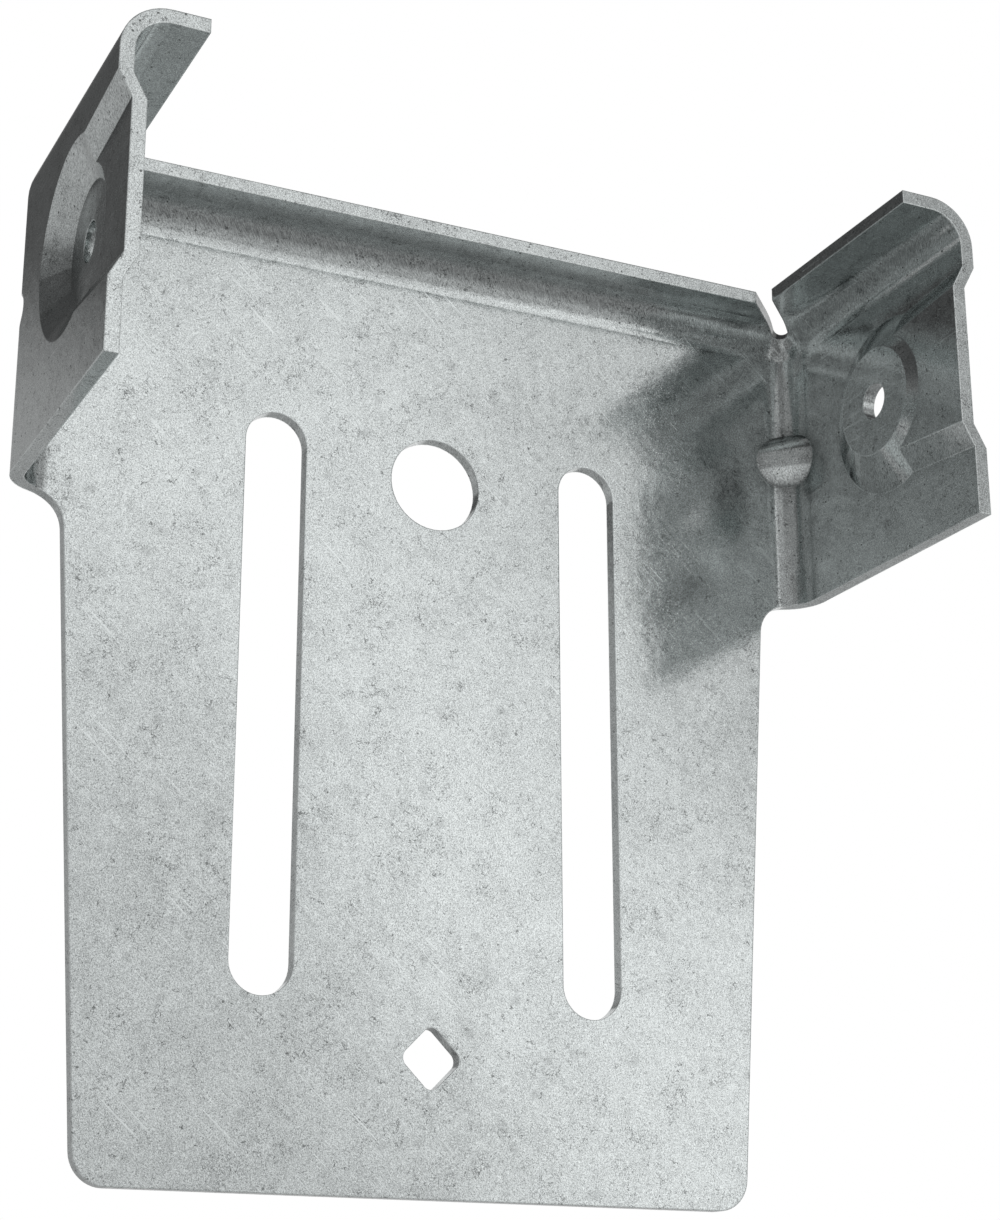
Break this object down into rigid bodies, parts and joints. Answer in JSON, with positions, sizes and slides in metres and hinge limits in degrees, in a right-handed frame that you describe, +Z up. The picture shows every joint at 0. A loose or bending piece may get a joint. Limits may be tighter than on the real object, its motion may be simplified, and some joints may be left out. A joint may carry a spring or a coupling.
{
  "type": "slide clip",
  "caption": "Folded sheet-steel slide clip: tapered plate with long slots, short top lips, and side flanges with a pressed boss and channel.",
  "frame": {"origin": "centre of the round hole, on the back face of the plate", "axes": "+Z up along the slots, towards the lips; -Y to the front, the way the flanges and lips stand out; +X to the right, seen from the front"},
  "size_m": [0.0922, 0.0352, 0.1008],
  "materials": {
    "galvanised_steel": "galvanised, satin, finely mottled"
  },
  "bodies": {
    "root": {"slide_clip": "galvanised_steel"}
  },
  "joints": []
}
